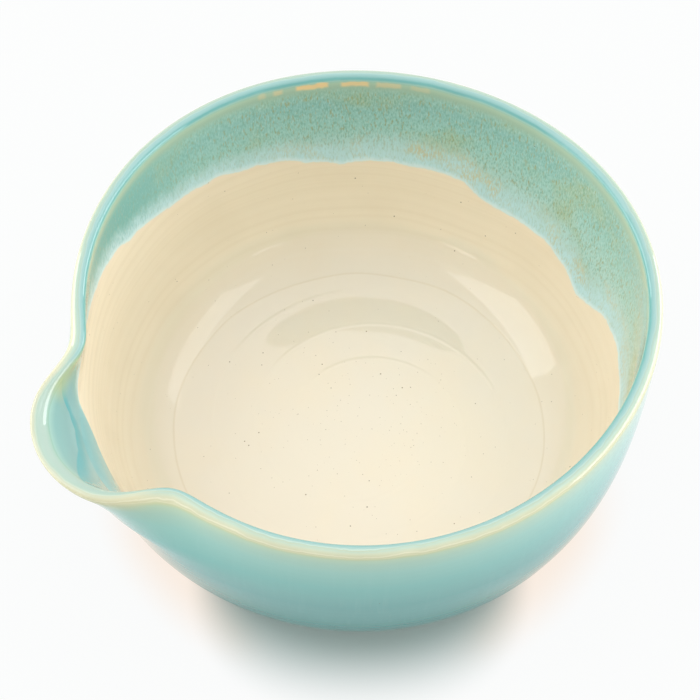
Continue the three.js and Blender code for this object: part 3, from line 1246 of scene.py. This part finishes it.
@dataclass
class StonewareBody(ThrownPiece):
    """Fired clay: the foot ring, the bare band above it and the wall under both glazes."""

    under_glaze: float = 0.95
    step: float = 2.5
    recess_places: int = 16
    lip_places: int = 10
    foot_slack: float = 0.01

    def stations(self) -> np.ndarray:
        """Stations round the whole section, with the corners of the foot."""
        belly_end, middle = self.form.section.belly_end, self.form.floor_middle
        foot_corners = self.form.section.from_lip[: len(self.form.foot_outline()[0])]
        under = np.linspace(foot_corners[0], foot_corners[1], self.recess_places)
        half = self.form.half_lip
        belly = np.linspace(belly_end, -half, round((-half - belly_end) / self.step))
        lip = np.linspace(-half, half, self.lip_places)[1:-1]
        inside = np.linspace(half, middle, round((middle - half) / self.step))
        return np.concatenate([under, foot_corners[2:], belly, lip, inside])

    def sink(self, station: np.ndarray) -> np.ndarray:
        """Depth below the glaze on the wall, and none on the foot ring."""
        foot_end = self.form.section.belly_end + self.foot_slack
        return np.where(station < foot_end, 0.0, self.under_glaze)


@dataclass(frozen=True)
class Panel:
    """A soft light in metres: its middle to the right, away from the camera and up, and its size."""

    name: str
    middle: tuple[float, float, float]
    size: tuple[float, float]
    radiance: float
    faces_bowl: bool = False


@dataclass
class Studio:
    """Pale floor, soft panels and walls, and the camera at the photograph's angle.

    The floor's emission goes over to white away from the bowl, which paints the edge of the bowl's shadow,
    sooner at the sides than at the front, with a painted warm bounce at the front sides.
    The spans of directions are cosines of the angle from the camera's side.
    """

    middle: tuple[float, float]
    azimuth: float = -33.0
    elevation: float = 55.861
    distance: float = 716.95
    aim: tuple[float, float, float] = (7.85, 2.23, 70.64)
    field_of_view: float = 22.0
    sensor: float = 36.0
    panels: tuple[Panel, ...] = (
        Panel("right_panel", (1.45, 0.39, 2.1), (0.9, 1.82), 0.9),
        Panel("left_panel", (-1.95, 0.15, 2.1), (2.1, 1.7), 1.1),
        Panel("right_wall", (2.0, 0.3, 0.5), (2.6, 0.9), 3.3, True),
        Panel("left_wall", (-2.0, 0.3, 0.5), (2.6, 0.9), 2.5, True),
        Panel("front_right_panel", (1.5, -1.75, 1.0), (0.6, 0.45), 1.1, True),
        Panel("front_left_panel", (-1.55, -1.7, 0.85), (0.6, 0.45), 1.1, True),
    )
    lamp_power: float = 4.0
    ambient: float = 0.55
    ceiling: float = 0.56
    ceiling_start: float = 0.2
    back: float = 0.5
    back_tilt: float = 32.0
    back_start: float = 0.74
    # The floor tone is grey with a teal tint: painted bounce from the turquoise bowl, kept dark so that the
    # painted shadow near the bowl reads deep.
    floor_and_bounce_tone: Rgb = (184, 198, 194)
    floor_size: float = 12.0
    floor_roughness: float = 0.9
    floor_refraction: float = 1.2
    # The glow is painted light: white emission on the floor beyond glow_start, so the plain floor left near
    # the bowl is a painted shadow. It reaches further at the front than at the sides, and further still in
    # reflections by mirror_lag.
    glow: float = 0.93
    glow_start: float = 92.0
    glow_width: float = 21.0
    front_fade: Span = (0.45, 1.0, 1.0, 0.58)
    sides: tuple[Span, ...] = ((0.99, 0.5), (-0.25, 0.35))
    side_lead: float = 26.0
    # Painted warm bounce, as off the bare clay, tinting the floor's glow beside the bowl towards the camera,
    # left and right.
    bounce: Rgb = (255, 241, 229)
    bounce_reach: Span = (120.0, 96.0)
    bounce_sides: tuple[Span, ...] = ((0.97, 0.86), (0.0, 0.5))
    mirror_lag: float = 9.0

    def place_camera(self) -> None:
        """Sets the camera at the photograph's angle."""
        turn, rise = math.radians(self.azimuth), math.radians(self.elevation)
        back = Vector((math.sin(turn) * math.cos(rise), -math.cos(turn) * math.cos(rise), math.sin(rise)))
        eye = (Vector(self.aim) + back * self.distance) * MM
        tilt = (-back).to_track_quat("-Z", "Y").to_euler()
        bpy.ops.object.camera_add(location=eye, rotation=tilt)
        camera = bpy.context.object
        camera.data.sensor_width = self.sensor
        camera.data.lens = self.sensor / 2 / math.tan(math.radians(self.field_of_view / 2))
        bpy.context.scene.camera = camera

    def hang_panels(self) -> None:
        """Hangs the soft lights, squared to the picture."""
        turn = math.radians(self.azimuth)
        right = Vector((math.cos(turn), math.sin(turn), 0))
        away = Vector((-math.sin(turn), math.cos(turn), 0))
        for panel in self.panels:
            spot = right * panel.middle[0] + away * panel.middle[1] + Vector((0, 0, panel.middle[2]))
            tilt = (0, 0, turn)
            if panel.faces_bowl:
                tilt = (-spot).to_track_quat("-Z", "Y").to_euler()
            bpy.ops.object.light_add(type="AREA", location=spot, rotation=tilt)
            lamp = bpy.context.object
            lamp.name = panel.name
            lamp.data.shape = "RECTANGLE"
            lamp.data.size, lamp.data.size_y = panel.size
            lamp.data.energy = self.lamp_power * panel.size[0] * panel.size[1] * panel.radiance
            lamp.visible_camera = False

    def lay_floor(self) -> None:
        """Lays the pale floor."""
        bpy.ops.mesh.primitive_plane_add(size=self.floor_size)
        floor = bpy.context.object
        floor.name = "studio_floor"
        bench = GlazeBench("studio_floor_finish")
        bench.look({"Base Color": linear(self.floor_and_bounce_tone)})
        bench.look({"Roughness": self.floor_roughness, "IOR": self.floor_refraction})
        self.whiten_round_painted_shadow(bench)
        floor.data.materials.append(bench.material)

    def whiten_round_painted_shadow(self, bench: GlazeBench) -> None:
        """Lets the floor go over to white away from the bowl, for the camera and in reflections: the emission
        paints the shadow's edge and a warm bounce beside the bowl.

        Args:
            bench: The floor's bench.
        """
        path = bench.wire("LightPath", ()).node.outputs
        seen = bench.math("MAXIMUM", path["Is Camera Ray"], path["Is Glossy Ray"])
        away, turns = bench.polar(self.middle)
        away = bench.scaled(path["Is Glossy Ray"], -self.mirror_lag, away)
        facing = bench.towards(turns, self.azimuth - 90)
        sides = bench.within(facing, *self.sides)
        # Painted shadow: no white glow within a reach that depends on the direction round the bowl.
        start = bench.scaled(sides, -self.side_lead, self.glow_start)
        beyond = bench.times(bench.math("SUBTRACT", away, start), bench.rise(facing, *self.front_fade))
        share = bench.rise(beyond, 0.0, self.glow_width, 0.0, self.glow)
        # Painted bounce: a warm tint in the glow near the bowl at the front sides.
        painted_bounce_share = bench.times(bench.rise(away, *self.bounce_reach), bench.within(facing, *self.bounce_sides))
        white = bench.wire("Emission", (bench.tint(painted_bounce_share, WHITE, self.bounce),))
        bench.join(bench.times(seen, share), bench.shader.outputs["BSDF"], white, "Material Output")

    def light_room(self) -> None:
        """Gives the room its even light, stronger towards the ceiling and the back, and a white backdrop."""
        world = bpy.data.worlds.new("studio_room")
        bpy.context.scene.world = world
        world.use_nodes = True
        world.node_tree.nodes.remove(world.node_tree.nodes["Background"])
        bench = NodeBench(world.node_tree)
        turn, tilt = math.radians(self.azimuth), math.radians(self.back_tilt)
        behind = (-math.sin(turn) * math.sin(tilt), math.cos(turn) * math.sin(tilt), math.cos(tilt))
        lobes = (
            ((0.0, 0.0, 1.0), self.ceiling_start, self.ambient, self.ambient + self.ceiling),
            (behind, self.back_start, 0.0, self.back),
        )
        way = bench.wire("TexCoord", (), "Generated")
        glows = []
        for towards, start, low, high in lobes:
            along = bench.wire("VectorMath", (way, towards), "Value", operation="DOT_PRODUCT")
            glows.append(bench.rise(along, start, 1.0, low, high))
        room = bench.wire("Background", (WHITE, bench.math("ADD", *glows)))
        backdrop = bench.wire("Background", (WHITE, 1.0))
        seen = bench.wire("LightPath", (), "Is Camera Ray")
        bench.join(seen, room, backdrop, "World Output")

    def build(self) -> None:
        """Sets up the whole studio."""
        self.place_camera()
        self.hang_panels()
        self.lay_floor()
        self.light_room()
        bpy.context.scene.view_settings.view_transform = "Standard"
        LOG.info("studio: %d panels over a pale floor", len(self.panels))


def main() -> None:
    """Builds the bowl piece by piece and sets it in the studio."""
    logging.basicConfig(level=logging.INFO, format="%(name)s %(message)s")
    form = BowlForm()
    cream = CreamGlaze(ThrowingMarks(form.axis))
    clay = StonewareBody(form, "stoneware_clay", "stoneware_body", Slot.STONEWARE, around=220)
    coat = TurquoiseCoat(form, "turquoise_coat", "turquoise_glaze", Slot.TURQUOISE, around=420)
    liner = CreamLiner(form, "cream_liner", "cream_liner_glaze", Slot.CREAM, around=420)
    clay.build(BareClay().material())
    coat.build(TurquoiseGlaze(cream).material())
    liner.build(cream.material())
    Studio(form.axis).build()


if __name__ == "__main__":
    main()
